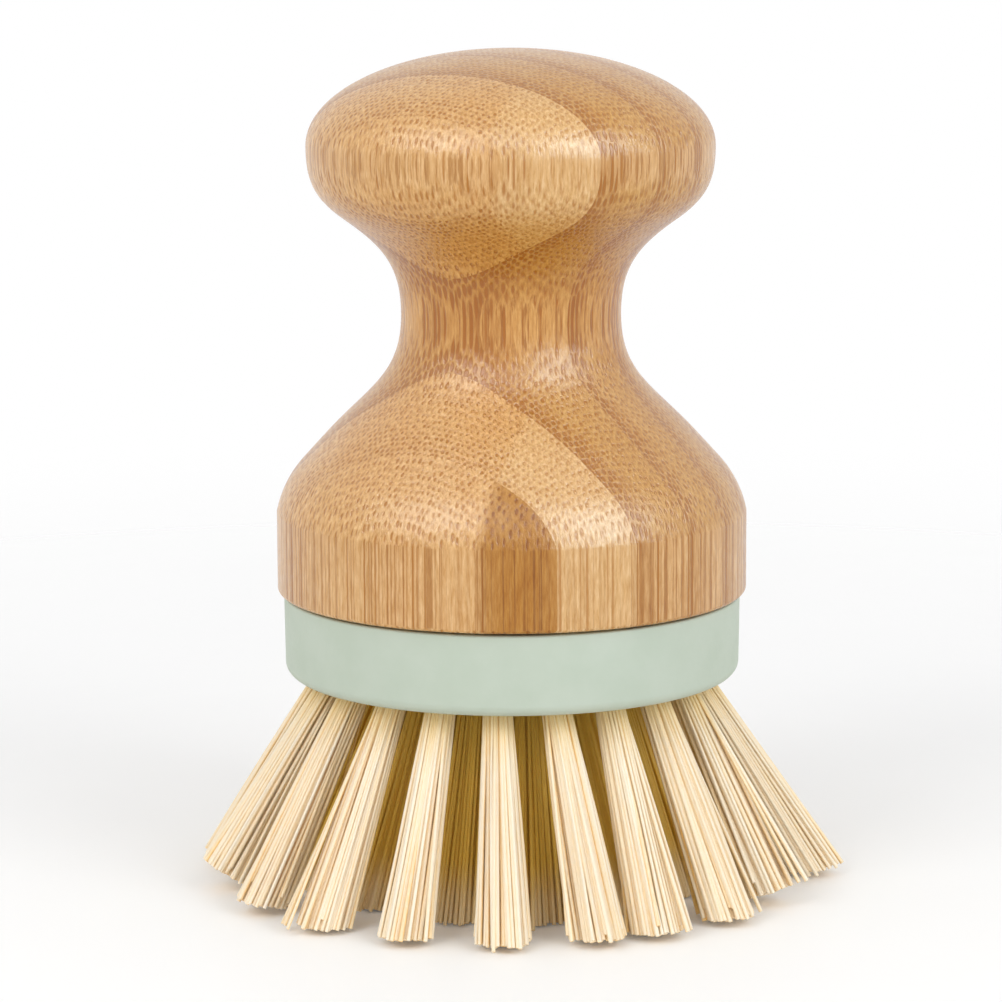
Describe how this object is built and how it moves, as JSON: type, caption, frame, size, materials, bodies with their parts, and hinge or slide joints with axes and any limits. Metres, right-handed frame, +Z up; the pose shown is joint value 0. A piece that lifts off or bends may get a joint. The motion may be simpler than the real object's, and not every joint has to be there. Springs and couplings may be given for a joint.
{
  "type": "dish brush",
  "caption": "Palm dish brush with a turned bamboo knob handle, a pale green moulded head and a fan of stiff fibre tufts trimmed flat.",
  "frame": {"origin": "centre of the plane that the trimmed bristle tips stand on, under the middle of the handle", "axes": "+Z up along the handle from the bristle tips to the top of the knob"},
  "size_m": [0.0716, 0.0716, 0.0918],
  "materials": {
    "bamboo": "satin lacquered laminated bamboo",
    "mint_plastic": "matte moulded",
    "fibre": "stiff plant fibre, cut ends"
  },
  "bodies": {
    "root": {"bamboo_handle": "bamboo", "brush_head": "mint_plastic", "tuft_centre": "fibre", "tuft_inner_01": "fibre", "tuft_inner_02": "fibre", "tuft_inner_03": "fibre", "tuft_inner_04": "fibre", "tuft_inner_05": "fibre", "tuft_inner_06": "fibre", "tuft_inner_07": "fibre", "tuft_middle_01": "fibre", "tuft_middle_02": "fibre", "tuft_middle_03": "fibre", "tuft_middle_04": "fibre", "tuft_middle_05": "fibre", "tuft_middle_06": "fibre", "tuft_middle_07": "fibre", "tuft_middle_08": "fibre", "tuft_middle_09": "fibre", "tuft_middle_10": "fibre", "tuft_middle_11": "fibre", "tuft_middle_12": "fibre", "tuft_middle_13": "fibre", "tuft_middle_14": "fibre", "tuft_outer_01": "fibre", "tuft_outer_02": "fibre", "tuft_outer_03": "fibre", "tuft_outer_04": "fibre", "tuft_outer_05": "fibre", "tuft_outer_06": "fibre", "tuft_outer_07": "fibre", "tuft_outer_08": "fibre", "tuft_outer_09": "fibre", "tuft_outer_10": "fibre", "tuft_outer_11": "fibre", "tuft_outer_12": "fibre", "tuft_outer_13": "fibre", "tuft_outer_14": "fibre", "tuft_outer_15": "fibre", "tuft_outer_16": "fibre", "tuft_outer_17": "fibre", "tuft_outer_18": "fibre", "tuft_outer_19": "fibre", "tuft_outer_20": "fibre"}
  },
  "joints": []
}
